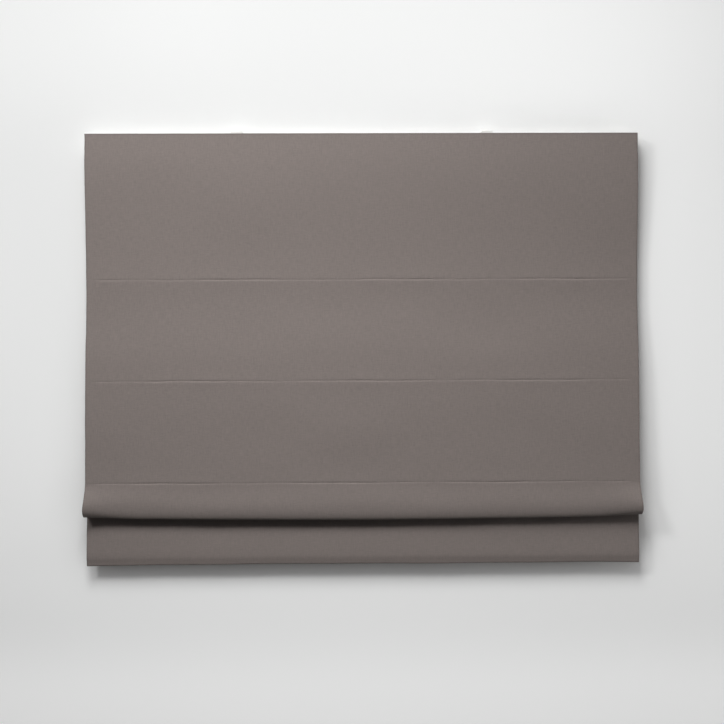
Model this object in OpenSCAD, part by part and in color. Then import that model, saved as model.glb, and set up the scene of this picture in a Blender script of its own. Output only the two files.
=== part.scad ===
// Roman blind: one folded cloth on a sprung lift rail, hung on two wall brackets.
// X runs to the right, Y towards the wall and Z up. The wall is the plane Y = 0,
// and the origin is the centre of the brackets' wall holes.

/* [Cloth] */
// Width of the cloth, and of the rail with its end caps
blind_w = 1200; // [900:10:1800]
// Thickness of the cloth
cloth_t = 1.2; // [0.8:0.1:1.5]
// Top edge of the cloth down to the first rod seam
top_drop = 316; // [240:1:420]
// Cloth from one rod seam to the next
seam_pitch = 220; // [170:1:300]
// Third seam down to the underside of the hanging fold
fold_drop = 76; // [70:1:100]
// Third seam down to the lower edge of the hem
hem_drop = 178; // [170:1:260]
// Radius of the hanging fold at its underside
fold_r = 13; // [10:0.5:18]
// Radius of the ridge where the cloth turns down behind the fold
ridge_r = 3.5; // [3:0.1:5]
// Height of cloth turned up at the hem
hem_fold = 60; // [45:1:70]
// Width of cloth turned in along each side
side_hem = 28; // [15:1:40]

/* [Rods, rings and cords] */
// Diameter of the stiffening rods
rod_d = 4; // [3:0.5:5]
// Thickness of the sewn rod tape
tape_t = 0.8; // [0.5:0.1:1]
// Rod seam to the centre of the rod, along the tape
tape_len = 30; // [28:1:36]
// Height of the tape's sewn foot
tape_foot = 8; // [5:0.5:9]
// Inside diameter of a cord ring
ring_bore = 8; // [6:0.5:10]
// Thickness of a ring's wire
ring_wire = 2.2; // [1.6:0.1:3]
// Diameter of the lift cords
cord_d = 1.6; // [1:0.1:2]
// Outer lift cords, in from the cloth's sides
cord_inset = 120; // [80:1:200]
// Diameter of the stop on each cord's end
stop_d = 9; // [8:0.5:14]
// Height of that stop
stop_h = 10; // [6:0.5:14]
// Height of the hem's weight bar
bar_h = 22; // [15:1:30]
// Thickness of the weight bar
bar_t = 2.5; // [2:0.1:3]

/* [Headrail] */
// Depth of the rail, front to back
rail_d = 28; // [28:0.5:34]
// Height of the rail
rail_h = 38; // [36:0.5:46]
// Wall of the rail
rail_wall = 1.4; // [1:0.1:1.8]
// Width of the slot along the rail's top
rail_slot = 14; // [13:0.5:16]
// Height of the hook and loop tapes
grip_h = 30; // [20:1:32]
// Thickness of the hook tape on the rail
hook_t = 2; // [1.4:0.1:2.4]
// Thickness of the loop tape on the cloth
loop_t = 1.2; // [0.8:0.1:1.8]
// Thickness of the end caps
cap_t = 2; // [1.5:0.1:3]
// Length of the end caps' plugs
cap_plug = 12; // [6:1:20]

/* [Lift mechanism] */
// Lift shaft, across its hexagon's flats
shaft_af = 6; // [5:0.1:6.5]
// Lift shaft's axis above the rail's floor
shaft_rise = 17.6; // [16.5:0.1:18]
// Diameter of the spool's drum
drum_d = 14; // [12:0.5:15]
// Diameter of the spool's flanges
flange_d = 21; // [19:0.5:22]
// Width of the drum between its flanges
drum_w = 32; // [28:1:40]
// Diameter of the spool's journals
journal_d = 10; // [9.5:0.1:11]
// Turns of cord on each drum
cord_turns = 4; // [2:1:8]
// Thickness of the cradle's uprights
cradle_t = 3; // [2:0.5:4]
// Length of the spring's housing
housing_len = 34; // [24:1:50]
// Housing's middle, to the right of the rail's middle
housing_x = 130; // [100:1:180]
// Thickness of the spring's strip
strip_t = 0.5; // [0.3:0.1:0.6]
// Turns of the spring
strip_turns = 6; // [3:1:6]

/* [Brackets] */
// Distance between the brackets' middles
bracket_pitch = 543; // [440:1:640]
// Width of a bracket
bracket_w = 25; // [24:1:34]
// Thickness of the brackets' steel
bracket_t = 2; // [1.5:0.1:2.5]
// Space between the brackets' back leg and the rail
rail_gap = 5; // [4:0.5:10]
// Space between the rail's top and the brackets' top leg
bracket_rise = 4.4; // [4:0.1:7]
// Diameter of the screw holes
screw_d = 4.5; // [4:0.1:5]
// Distance between a bracket's two wall holes
screw_pitch = 16; // [12:1:24]
// Diameter of the latch's rivet
rivet_d = 5; // [4:0.1:5.5]
// Reach of the latch's toe from its rivet
latch_reach = 10; // [9:0.5:11]
// Length of the latch's thumb tab from its rivet
tab_len = 15; // [13:0.5:16]

/* [Hidden] */
$fn = 48;

// Cuts run past their faces by this much
overrun = 1;
// Gap around a turning journal, and around pieces that only slide together
running_fit = 0.05;
loose_fit = 0.2;
// Air between a moving piece and its fixed neighbour
run_gap = 0.4;

// Colours
cloth_colour = "#857c78";
tape_colour = "#8f8884";
white_enamel = "#ecebe7";
white_plastic = "#f2f1ee";
clear_plastic = "#dfe3e4";
steel = "#b9bcbf";
cord_colour = "#d8d4cc";

// Rail: its section, and the axis that its mechanism turns on
rail_len = blind_w - 2 * cap_t;
rail_top = 16;
rail_floor = rail_top - rail_h + rail_wall;
rail_back = -(bracket_t + rail_gap);
rail_front = rail_back - rail_d;
rail_mid = rail_back - rail_d / 2;
rail_corner = rail_wall;
lip_under = rail_top - rail_wall;
recess_share = 0.4;
hook_recess = hook_t * recess_share;
grip_z = rail_top - rail_h / 2;
shaft_y = rail_mid;
shaft_z = rail_floor + shaft_rise;
inner_d = rail_d - 2 * rail_wall;
seat_w = inner_d - 2 * loose_fit;

// Lines of the lift cords and of the rods that hang behind the cloth
cord_x = blind_w / 2 - cord_inset;
cord_y = shaft_y + drum_d / 2 + cord_d / 2 + run_gap;
ring_r = (ring_bore + ring_wire) / 2;
ring_out_r = ring_r + ring_wire / 2;
sleeve_r = rod_d / 2 + running_fit + tape_t;
rod_y = cord_y - ring_out_r - run_gap / 2 - sleeve_r;
rod_stack = 2 * sleeve_r + run_gap;

// How far the back of the cloth hangs in front of the rods at each seam
sleeve_air = 0.8;
seam_1_reach = sleeve_r + sleeve_air;
seam_2_reach = 16;
seam_3_reach = 26;
hem_reach = 9.4;

// Heights of the seams, where the tapes are sewn, and of their rods
seam_1_z = rail_top - top_drop;
seam_2_z = seam_1_z - seam_pitch;
seam_3_z = seam_2_z - seam_pitch;
function tape_rise(reach) = sqrt(tape_len * tape_len - reach * reach);
rod_3_z = seam_3_z + tape_rise(seam_3_reach);
rod_4_z = rod_3_z - rod_stack;
seam_4_z = rod_4_z - tape_rise(hem_reach);
seams = [
    [seam_1_reach, seam_1_z, -1],
    [seam_2_reach, seam_2_z, -1],
    [seam_3_reach, seam_3_z, 1],
    [hem_reach, seam_4_z, 1],
];
function rod_z(seam) = seam[1] + seam[2] * tape_rise(seam[0]);

// Middle line of the cloth, from its top edge to the end of the turned-up hem
rail_cloth_y = rail_front + hook_recess - hook_t - loop_t - cloth_t / 2;
seam_1_y = rod_y - seam_1_reach - cloth_t / 2;
seam_2_y = rod_y - seam_2_reach - cloth_t / 2;
seam_3_y = rod_y - seam_3_reach - cloth_t / 2;
hem_y = rod_y - hem_reach - cloth_t / 2;
layer_gap = 1.3;
fold_mid_y = hem_y - cloth_t - layer_gap - fold_r;
fold_mid_z = seam_3_z - fold_drop + fold_r + cloth_t / 2;
ridge_y = hem_y - ridge_r;
ridge_z = seam_4_z + tape_foot + cloth_t;
hem_z = seam_3_z - hem_drop;
hem_turn_r = (bar_t + cloth_t) / 2 + loose_fit;
hem_turn_z = hem_z + hem_turn_r + cloth_t / 2;
span_steps = 10;
turn_steps = 16;
groove_share = 0.4;

function ease(s) = s * s * (3 - 2 * s);
// Hangs straight at both ends, and moves sideways in between
function hang(a, b) = [for (i = [0 : span_steps - 1])
    let (s = i / span_steps) [a[0] + (b[0] - a[0]) * ease(s), a[1] + (b[1] - a[1]) * s]];
// Leaves the seam at a slant, and hangs straight at its end
function swell(a, b) = [for (i = [0 : span_steps - 1])
    let (s = i / span_steps) [a[0] + (b[0] - a[0]) * sin(90 * s), a[1] + (b[1] - a[1]) * s]];
function turn(c, r, from, to) = [for (i = [0 : turn_steps])
    let (a = from + (to - from) * i / turn_steps) [c[0] + r * cos(a), c[1] + r * sin(a)]];

cloth_face = concat(
    [[rail_cloth_y, rail_top]],
    hang([rail_cloth_y, rail_top - rail_h], [seam_1_y, seam_1_z + tape_foot]),
    [[seam_1_y, seam_1_z + tape_foot]],
    hang([seam_1_y, seam_1_z], [seam_2_y, seam_2_z + tape_foot]),
    [[seam_2_y, seam_2_z + tape_foot]],
    hang([seam_2_y, seam_2_z], [seam_3_y, seam_3_z + tape_foot]),
    [[seam_3_y, seam_3_z + tape_foot]],
    swell([seam_3_y, seam_3_z], [fold_mid_y - fold_r, fold_mid_z]),
    turn([fold_mid_y, fold_mid_z], fold_r, 180, 360),
    turn([ridge_y, ridge_z], ridge_r, 180, 0)
);
cloth_line = concat(
    cloth_face,
    turn([hem_y + hem_turn_r, hem_turn_z], hem_turn_r, 180, 360),
    [[hem_y + 2 * hem_turn_r, hem_z + hem_fold]]
);
side_line = concat(cloth_face, [[hem_y, hem_z + hem_fold + cloth_t]]);

function unit(v) = v / norm(v);
function side_of(line, i) = let (
    last = len(line) - 1,
    d = unit(line[min(i + 1, last)] - line[max(i - 1, 0)])
) [-d[1], d[0]];
// Outline of a strip that follows a line, with its front and back faces this far from it
function strip(line, front, back) = let (last = len(line) - 1) concat(
    [for (i = [0 : last]) line[i] - front * side_of(line, i)],
    [for (i = [last : -1 : 0]) line[i] + back * side_of(line, i)]
);

// Draws a Y-Z section along X, centred on x = 0
module along_x(length) {
    rotate([90, 0, 90])
        linear_extrude(length, center = true)
            children();
}

module rounded(size, r) {
    translate([r, 0])
        square([size[0] - 2 * r, size[1]]);
    translate([0, r])
        square([size[0], size[1] - 2 * r]);
    for (x = [r, size[0] - r], y = [r, size[1] - r])
        translate([x, y])
            circle(r);
}

// Rail and what closes and grips it

module rail_outline(inset = 0) {
    translate([rail_front + inset, rail_top - rail_h + inset])
        rounded([rail_d - 2 * inset, rail_h - 2 * inset], rail_corner);
}

// Cord exits come out through the floor of the rail
exit_share = 2.5;
exit_bore = cord_d * exit_share;
exit_wall = cord_d;
exit_d = exit_bore + 2 * exit_wall;
exit_lip = rail_wall;

module headrail() {
    color(white_enamel)
        difference() {
            along_x(rail_len)
                difference() {
                    rail_outline();
                    translate([rail_front + rail_wall, rail_floor])
                        square([inner_d, rail_h - 2 * rail_wall]);
                    translate([rail_mid - rail_slot / 2, lip_under - overrun])
                        square([rail_slot, rail_wall + 2 * overrun]);
                    translate([rail_front - overrun, grip_z - grip_h / 2 - loose_fit])
                        square([hook_recess + overrun, grip_h + 2 * loose_fit]);
                }
            for (x = [-cord_x, 0, cord_x])
                translate([x, cord_y, rail_floor - rail_wall - overrun])
                    cylinder(d = exit_d + 2 * loose_fit, h = rail_wall + 2 * overrun);
        }
}

cap_wall_share = 0.8;
cap_wall = cap_t * cap_wall_share;
cap_rim_share = 0.4;
cap_rim = cap_t * cap_rim_share;

module end_cap() {
    color(white_plastic) {
        translate([rail_len / 2 + (cap_t - cap_rim) / 2, 0, 0])
            along_x(cap_t - cap_rim)
                rail_outline();
        translate([rail_len / 2 + cap_t / 2, 0, 0])
            along_x(cap_t)
                rail_outline(cap_rim);
        translate([rail_len / 2 - cap_plug / 2, 0, 0])
            along_x(cap_plug)
                difference() {
                    translate([rail_mid - seat_w / 2, rail_floor + loose_fit])
                        square([seat_w, lip_under - rail_floor - 2 * loose_fit]);
                    translate([rail_mid - seat_w / 2 + cap_wall, rail_floor + loose_fit + cap_wall])
                        square([seat_w - 2 * cap_wall,
                            lip_under - rail_floor - 2 * loose_fit - 2 * cap_wall]);
                }
    }
}

module end_cap_right() { end_cap(); }
module end_cap_left() { mirror([1, 0, 0]) end_cap(); }

module hook_tape() {
    color(white_plastic)
        along_x(rail_len)
            translate([rail_front + hook_recess - hook_t, grip_z - grip_h / 2])
                square([hook_t, grip_h]);
}

module loop_tape() {
    color(tape_colour)
        along_x(blind_w - 2 * side_hem - 2 * loose_fit)
            translate([rail_cloth_y + cloth_t / 2, grip_z - grip_h / 2])
                square([loop_t, grip_h]);
}

// Cloth with its side hems, its hem pocket and a pressed line at each visible seam

module blind_cloth() {
    groove_d = cloth_t * groove_share;
    color(cloth_colour)
        difference() {
            union() {
                along_x(blind_w)
                    polygon(strip(cloth_line, cloth_t / 2, cloth_t / 2));
                for (x = [-1, 1])
                    translate([x * (blind_w - side_hem) / 2, 0, 0])
                        along_x(side_hem)
                            polygon(strip(side_line, 0, cloth_t / 2 + min(cloth_t, loop_t)));
            }
            for (seam = [[seam_1_y, seam_1_z], [seam_2_y, seam_2_z]])
                along_x(blind_w + 2 * overrun)
                    translate([seam[0] - cloth_t / 2 - overrun, seam[1] - cloth_t / 2])
                        square([overrun + groove_d, cloth_t]);
        }
}

// Weight bar with rolled edges and round ends
edge_share = 0.4;

module hem_bar() {
    straight = blind_w - 2 * side_hem - 3 * bar_h;
    bar_front = hem_y + hem_turn_r - bar_t / 2;
    color(steel) {
        along_x(straight)
            translate([bar_front, hem_turn_z])
                rounded([bar_t, bar_h], bar_t * edge_share);
        for (x = [-1, 1])
            translate([x * straight / 2, bar_front, hem_turn_z + bar_h / 2])
                rotate([-90, 0, 0])
                    cylinder(d = bar_h, h = bar_t);
    }
}

// Rods in their sewn tapes, with the rings that ride on the cords

tape_w = blind_w - 2 * side_hem - 2 * cloth_t;
rod_len = tape_w - 2 * rod_d;

module rod_tape(seam) {
    reach = seam[0];
    rise = seam[2] * tape_rise(reach);
    corner = [rod_y - reach + tape_t / 2, seam[1] + tape_t / 2];
    run = [rod_y, seam[1] + rise] - corner;
    color(tape_colour)
        along_x(tape_w)
            difference() {
                union() {
                    translate([rod_y - reach, seam[1]])
                        square([tape_t, tape_foot]);
                    translate(corner)
                        rotate(atan2(run[1], run[0]))
                            translate([-tape_t / 2, -tape_t / 2])
                                square([norm(run) + tape_t / 2 - rod_d / 2, tape_t]);
                    translate([rod_y, seam[1] + rise])
                        circle(sleeve_r);
                }
                translate([rod_y, seam[1] + rise])
                    circle(rod_d / 2 + running_fit);
                translate([rod_y - reach - 2 * tape_t, seam[1] - tape_len])
                    square([2 * tape_t, 2 * tape_len]);
            }
}

module rod_tape_1() { rod_tape(seams[0]); }
module rod_tape_2() { rod_tape(seams[1]); }
module rod_tape_3() { rod_tape(seams[2]); }
module rod_tape_4() { rod_tape(seams[3]); }

module stiffening_rod(seam) {
    color(white_plastic)
        translate([-rod_len / 2, rod_y, rod_z(seam)])
            rotate([0, 90, 0])
                cylinder(d = rod_d, h = rod_len);
}

module stiffening_rod_1() { stiffening_rod(seams[0]); }
module stiffening_rod_2() { stiffening_rod(seams[1]); }
module stiffening_rod_3() { stiffening_rod(seams[2]); }
module stiffening_rod_4() { stiffening_rod(seams[3]); }

module cord_rings(seam) {
    color(clear_plastic)
        for (x = [-cord_x, 0, cord_x])
            translate([x, cord_y, rod_z(seam)])
                rotate_extrude()
                    translate([ring_r, 0])
                        circle(d = ring_wire);
}

module cord_rings_1() { cord_rings(seams[0]); }
module cord_rings_2() { cord_rings(seams[1]); }
module cord_rings_3() { cord_rings(seams[2]); }
module cord_rings_4() { cord_rings(seams[3]); }

// Lift cords, each from its spool down through the rings to a stop under the last one

stop_top = rod_4_z - ring_wire / 2 - running_fit;
cord_tail = cord_d * 2;

module lift_cord(x) {
    low = stop_top - stop_h - cord_tail;
    color(cord_colour)
        translate([x, cord_y, low])
            cylinder(d = cord_d, h = shaft_z - low);
}

module lift_cord_left() { lift_cord(-cord_x); }
module lift_cord_centre() { lift_cord(0); }
module lift_cord_right() { lift_cord(cord_x); }

// Acorn-shaped stop: a round rim that carries the last ring, on a foot that tapers down
stop_round_share = 0.2;
stop_foot_share = 0.6;
stop_rim_share = 0.65;

module cord_stop(x) {
    rim_r = stop_d * stop_round_share;
    foot_r = stop_d / 2 * stop_foot_share;
    bore_r = cord_d / 2 + running_fit;
    color(clear_plastic)
        translate([x, cord_y, stop_top - stop_h])
            rotate_extrude()
                polygon(concat(
                    [[bore_r, 0], [foot_r, 0], [stop_d / 2, stop_h * stop_rim_share]],
                    turn([stop_d / 2 - rim_r, stop_h - rim_r], rim_r, 0, 90),
                    [[bore_r, stop_h]]
                ));
}

module cord_stop_left() { cord_stop(-cord_x); }
module cord_stop_centre() { cord_stop(0); }
module cord_stop_right() { cord_stop(cord_x); }

// Lift shaft with its spools, and the cradles that the spools turn in

shaft_fit = shaft_af + 2 * running_fit;
flange_t = 2;
spool_half = drum_w / 2 + flange_t;
upright_in = spool_half + run_gap;
upright_out = upright_in + cradle_t;
journal_end = upright_out + run_gap;
collar_len = 7;
collar_d = journal_d + 2 * flange_t;
shaft_len = 2 * (cord_x + journal_end + collar_len + shaft_af);

module hexagon(af) {
    circle(d = af / cos(30), $fn = 6);
}

// A length of round bar along the shaft's axis
module on_shaft(from, to, d) {
    translate([from, shaft_y, shaft_z])
        rotate([0, 90, 0])
            cylinder(d = d, h = to - from);
}

// The hexagon that the shaft fills, along its axis
module hexagon_on_shaft(length, af) {
    along_x(length)
        translate([shaft_y, shaft_z])
            hexagon(af);
}

module lift_shaft() {
    color(steel)
        hexagon_on_shaft(shaft_len, shaft_af);
}

module shaft_collar() {
    from = cord_x + journal_end + running_fit;
    color(white_plastic)
        difference() {
            on_shaft(from, from + collar_len, collar_d);
            hexagon_on_shaft(2 * shaft_len, shaft_fit);
        }
}

module shaft_collar_right() { shaft_collar(); }
module shaft_collar_left() { mirror([1, 0, 0]) shaft_collar(); }

// A cone beside the hanging cord pushes each new turn along the drum, and a notch holds the cord's end
cone_share = 0.6;
cone_d = drum_d + (flange_d - drum_d) * cone_share;
notch_w = cord_d + 2 * loose_fit;

module cord_spool(x) {
    cone_from = x + 2 * cord_d;
    color(white_plastic)
        difference() {
            union() {
                on_shaft(x - journal_end, x + journal_end, journal_d);
                on_shaft(x - spool_half, x + spool_half, drum_d);
                for (side = [-spool_half, spool_half - flange_t])
                    on_shaft(x + side, x + side + flange_t, flange_d);
                translate([cone_from, shaft_y, shaft_z])
                    rotate([0, 90, 0])
                        cylinder(d1 = drum_d, d2 = cone_d, h = x + spool_half - flange_t / 2 - cone_from);
            }
            translate([x - spool_half - overrun, shaft_y - notch_w / 2, shaft_z + drum_d / 2])
                cube([flange_t + 2 * overrun, notch_w, flange_d]);
            hexagon_on_shaft(2 * shaft_len, shaft_fit);
        }
}

module cord_spool_left() { cord_spool(-cord_x); }
module cord_spool_centre() { cord_spool(0); }
module cord_spool_right() { cord_spool(cord_x); }

// Turns of cord that lie beside the one that hangs down
module cord_winding(x) {
    first = x - cord_d - run_gap;
    wound_r = drum_d / 2 + running_fit;
    color(cord_colour)
        translate([first, shaft_y, shaft_z])
            rotate([0, -90, 0])
                rotate_extrude() {
                    for (i = [0 : cord_turns - 1])
                        translate([wound_r + cord_d / 2, i * cord_d])
                            circle(d = cord_d);
                    translate([wound_r, 0])
                        square([cord_d / 2, (cord_turns - 1) * cord_d]);
                }
}

module cord_winding_left() { cord_winding(-cord_x); }
module cord_winding_centre() { cord_winding(0); }
module cord_winding_right() { cord_winding(cord_x); }

cradle_wall_share = 0.33;
cradle_wall = (flange_d - journal_d) * cradle_wall_share;
cradle_head_d = journal_d + 2 * cradle_wall;
cradle_base_share = 0.67;
cradle_base = cradle_t * cradle_base_share;
cradle_foot = 8;
gusset_share = 0.45;
gusset_h = shaft_rise * gusset_share;
// Each journal snaps down into its upright through a mouth that is narrower than the journal
mouth_share = 0.86;
mouth_w = journal_d * mouth_share;

// Rib that props an upright from the cradle's foot
module cradle_gusset() {
    rotate([90, 0, 0])
        linear_extrude(cradle_t, center = true)
            polygon([
                [-cradle_t / 2, 0],
                [cradle_foot, 0],
                [cradle_foot, cradle_base],
                [0, gusset_h],
                [-cradle_t / 2, gusset_h],
            ]);
}

module spool_cradle(x) {
    color(white_plastic)
        difference() {
            union() {
                translate([x, 0, 0])
                    along_x(2 * (upright_out + cradle_foot))
                        translate([rail_mid - seat_w / 2, rail_floor])
                            square([seat_w, cradle_base]);
                for (side = [0, 1])
                    translate([x, rail_mid, rail_floor])
                        mirror([side, 0, 0])
                            translate([upright_out, 0, 0])
                                cradle_gusset();
                for (side = [-1, 1])
                    translate([x + side * (upright_in + upright_out) / 2, 0, 0])
                        along_x(cradle_t) {
                            translate([shaft_y, shaft_z])
                                circle(d = cradle_head_d);
                            translate([shaft_y - cradle_head_d / 2, rail_floor])
                                square([cradle_head_d, shaft_rise]);
                            translate([rail_mid - seat_w / 2, rail_floor])
                                square([seat_w, cradle_base + cradle_t]);
                        }
                translate([x, cord_y, rail_floor - rail_wall - exit_lip])
                    cylinder(d = exit_d, h = rail_wall + exit_lip + cradle_base);
            }
            on_shaft(x - 2 * upright_out, x + 2 * upright_out, journal_d + 2 * running_fit);
            translate([x, 0, 0])
                along_x(4 * upright_out)
                    translate([shaft_y - mouth_w / 2, shaft_z])
                        square([mouth_w, cradle_head_d]);
            translate([x, cord_y, rail_floor - rail_wall - exit_lip - overrun])
                cylinder(d = exit_bore, h = rail_wall + exit_lip + cradle_base + 2 * overrun);
        }
}

module spool_cradle_left() { spool_cradle(-cord_x); }
module spool_cradle_centre() { spool_cradle(0); }
module spool_cradle_right() { spool_cradle(cord_x); }

// Power spring in its drum, wound on an arbor that turns with the shaft

housing_wall_share = 0.04;
drum_wall = seat_w * housing_wall_share;
cavity_r = seat_w / 2 - drum_wall;
end_wall = 2;
housing_left = housing_x - housing_len / 2;
housing_right = housing_x + housing_len / 2;
arbor_r = shaft_fit / 2 / cos(30) + end_wall / 2;
bearing_r = arbor_r + running_fit;

module housing_outline() {
    translate([shaft_y, shaft_z])
        circle(d = seat_w);
    translate([rail_mid - seat_w / 2, rail_floor])
        square([seat_w, shaft_rise]);
}

module spring_housing() {
    color(clear_plastic)
        difference() {
            translate([housing_x, 0, 0])
                along_x(housing_len)
                    housing_outline();
            on_shaft(housing_left + end_wall, housing_right + overrun, 2 * cavity_r);
            on_shaft(housing_left - overrun, housing_right, 2 * bearing_r);
        }
}

module spring_cover() {
    color(clear_plastic)
        difference() {
            union() {
                translate([housing_right + end_wall / 2, 0, 0])
                    along_x(end_wall)
                        housing_outline();
                on_shaft(housing_right - end_wall, housing_right + end_wall, 2 * (cavity_r - loose_fit));
            }
            on_shaft(housing_left, housing_right + 2 * end_wall, 2 * bearing_r);
        }
}

module spring_arbor() {
    color(steel)
        difference() {
            on_shaft(housing_left - end_wall, housing_right + 2 * end_wall, 2 * arbor_r);
            hexagon_on_shaft(2 * shaft_len, shaft_fit);
        }
}

turn_points = 24;
spring_from = arbor_r + running_fit + strip_t / 2;
spring_pitch = (cavity_r - run_gap - strip_t / 2 - spring_from) / (strip_turns + 1);
spring_line = [for (i = [0 : strip_turns * turn_points])
    let (a = 360 * i / turn_points, r = spring_from + spring_pitch * i / turn_points)
        [shaft_y + r * cos(a), shaft_z + r * sin(a)]];

module power_spring() {
    color(steel)
        translate([housing_x, 0, 0])
            along_x(housing_len - 4 * end_wall)
                polygon(strip(spring_line, strip_t / 2, strip_t / 2));
}

// Wall brackets: a bent leg over the rail, two ears under its front lip and a turning latch at its back

bracket_x = bracket_pitch / 2;
bracket_top = rail_top + bracket_rise + bracket_t;
leg_margin_share = 1.5;
leg_low = -screw_pitch / 2 - screw_d * leg_margin_share;
bend_share = 1.5;
bend_r = bracket_t * bend_share;
nose_z = rail_top + run_gap;
ear_t = bracket_t;
ear_share = 0.25;
ear_w = rail_slot * ear_share;
ear_y = rail_mid - rail_slot / 2 + run_gap;
ear_toe = 4.2;
hub_share = 0.64;
latch_hub_d = rail_slot * hub_share;
rivet_y = rail_mid + (rail_slot - latch_hub_d) / 2 - run_gap;
ceiling_y = -(bracket_t + rail_gap + screw_d / 2);
corner_share = 0.16;
corner_r = bracket_w * corner_share;
rib_share = 0.7;
rib_leg = rail_gap * rib_share;
rib_place_share = 0.36;
rib_x = bracket_w * rib_place_share;

// Rib pressed across the inside of the bracket's bend
module bend_rib() {
    under = bracket_top - bracket_t;
    along_x(bracket_t)
        polygon([
            [-bracket_t / 2, under + bracket_t / 2],
            [-bracket_t / 2, under - rib_leg],
            [-bracket_t, under - rib_leg],
            [-bracket_t - rib_leg, under],
            [-bracket_t - rib_leg, under + bracket_t / 2],
        ]);
}

// What is cut off to round the lower corners of the bracket's back leg
module corner_waste() {
    translate([bracket_w / 2 - corner_r, -bracket_t - overrun, leg_low + corner_r])
        rotate([-90, 0, 0])
            linear_extrude(bracket_t + 2 * overrun)
                difference() {
                    square(corner_r + overrun);
                    circle(corner_r);
                }
}

module rivet_hole(clearance) {
    rivet_head_d = rivet_d + 2 * bracket_t;
    translate([0, rivet_y, bracket_top - bracket_t])
        cylinder(d1 = rivet_d + 2 * clearance, d2 = rivet_head_d + 2 * clearance, h = bracket_t);
}

module mounting_bracket(x) {
    reach = -rail_front;
    height = bracket_top - leg_low;
    color(white_enamel)
        translate([x, 0, 0])
            difference() {
                union() {
                    along_x(bracket_w)
                        difference() {
                            translate([-reach, leg_low - bend_r])
                                rounded([reach, height + bend_r], bend_r);
                            translate([bracket_t - reach, leg_low - 2 * bend_r])
                                rounded([reach - 2 * bracket_t, height + 2 * bend_r - bracket_t],
                                    bend_r - bracket_t);
                            translate([-reach - overrun, leg_low - 2 * bend_r])
                                square([bracket_t + 2 * overrun, nose_z - leg_low + 2 * bend_r]);
                            translate([-reach - overrun, leg_low - 2 * bend_r])
                                square([reach + 2 * overrun, 2 * bend_r]);
                        }
                    for (side = [-1, 1])
                        translate([side * (bracket_w - ear_t) / 2, 0, 0])
                            along_x(ear_t) {
                                translate([ear_y, lip_under - run_gap - ear_t])
                                    square([ear_w, bracket_top - bracket_t / 2 - lip_under + run_gap + ear_t]);
                                translate([ear_y - ear_toe, lip_under - run_gap - ear_t])
                                    square([ear_toe + ear_w, ear_t]);
                            }
                    for (side = [-1, 1])
                        translate([side * rib_x, 0, 0])
                            bend_rib();
                }
                for (side = [0, 1])
                    mirror([side, 0, 0])
                        corner_waste();
                for (z = [-1, 1])
                    translate([0, -bracket_t - overrun, z * screw_pitch / 2])
                        rotate([-90, 0, 0])
                            cylinder(d = screw_d, h = bracket_t + 2 * overrun);
                translate([0, ceiling_y, bracket_top - bracket_t - overrun])
                    cylinder(d = screw_d, h = bracket_t + 2 * overrun);
                rivet_hole(running_fit);
            }
}

module mounting_bracket_left() { mounting_bracket(-bracket_x); }
module mounting_bracket_right() { mounting_bracket(bracket_x); }

toe_t = 2.4;
tab_t = bracket_rise - 3 * run_gap;
toe_top = lip_under - run_gap;
toe_share = 0.8;
toe_w = latch_hub_d * toe_share;
tab_share = 0.75;
tab_w = latch_hub_d * tab_share;
grip_share = 0.1;
grip_r = tab_w * grip_share;
grip_turns = [-45, 0, 45];

module bracket_latch(x) {
    color(steel)
        translate([x, rivet_y, 0])
            difference() {
                union() {
                    translate([0, 0, toe_top - toe_t])
                        cylinder(d = latch_hub_d, h = bracket_top - bracket_t - run_gap - toe_top + toe_t);
                    translate([0, 0, toe_top - toe_t])
                        linear_extrude(toe_t)
                            intersection() {
                                translate([-toe_w / 2, 0])
                                    square([toe_w, latch_reach]);
                                circle(latch_reach);
                            }
                    translate([0, 0, rail_top + run_gap])
                        linear_extrude(tab_t) {
                            translate([0, -tab_w / 2])
                                square([tab_len - tab_w / 2, tab_w]);
                            translate([tab_len - tab_w / 2, 0])
                                circle(d = tab_w);
                        }
                }
                translate([0, 0, toe_top - toe_t - overrun])
                    cylinder(d = rivet_d + 2 * running_fit, h = bracket_top - toe_top + toe_t);
                for (a = grip_turns)
                    translate([tab_len - tab_w / 2, 0, rail_top])
                        rotate(a)
                            translate([tab_w / 2, 0, 0])
                                cylinder(r = grip_r, h = bracket_rise);
            }
}

module bracket_latch_left() { bracket_latch(-bracket_x); }
module bracket_latch_right() { bracket_latch(bracket_x); }

rivet_foot_share = 0.2;

module latch_rivet(x) {
    foot_t = rivet_d * rivet_foot_share;
    foot_top = toe_top - toe_t - running_fit;
    color(steel)
        translate([x, 0, 0]) {
            rivet_hole(0);
            translate([0, rivet_y, foot_top - foot_t])
                cylinder(d = rivet_d, h = bracket_top - foot_top);
            translate([0, rivet_y, foot_top - foot_t])
                cylinder(d = latch_hub_d - 2 * run_gap, h = foot_t);
        }
}

module latch_rivet_left() { latch_rivet(-bracket_x); }
module latch_rivet_right() { latch_rivet(bracket_x); }

headrail();
end_cap_left();
end_cap_right();
hook_tape();
loop_tape();
blind_cloth();
hem_bar();
mounting_bracket_left();
mounting_bracket_right();
bracket_latch_left();
bracket_latch_right();
latch_rivet_left();
latch_rivet_right();
lift_shaft();
shaft_collar_left();
shaft_collar_right();
cord_spool_left();
cord_spool_centre();
cord_spool_right();
cord_winding_left();
cord_winding_centre();
cord_winding_right();
spool_cradle_left();
spool_cradle_centre();
spool_cradle_right();
spring_housing();
spring_cover();
power_spring();
spring_arbor();
lift_cord_left();
lift_cord_centre();
lift_cord_right();
cord_stop_left();
cord_stop_centre();
cord_stop_right();
rod_tape_1();
rod_tape_2();
rod_tape_3();
rod_tape_4();
stiffening_rod_1();
stiffening_rod_2();
stiffening_rod_3();
stiffening_rod_4();
cord_rings_1();
cord_rings_2();
cord_rings_3();
cord_rings_4();
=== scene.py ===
import math

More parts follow.
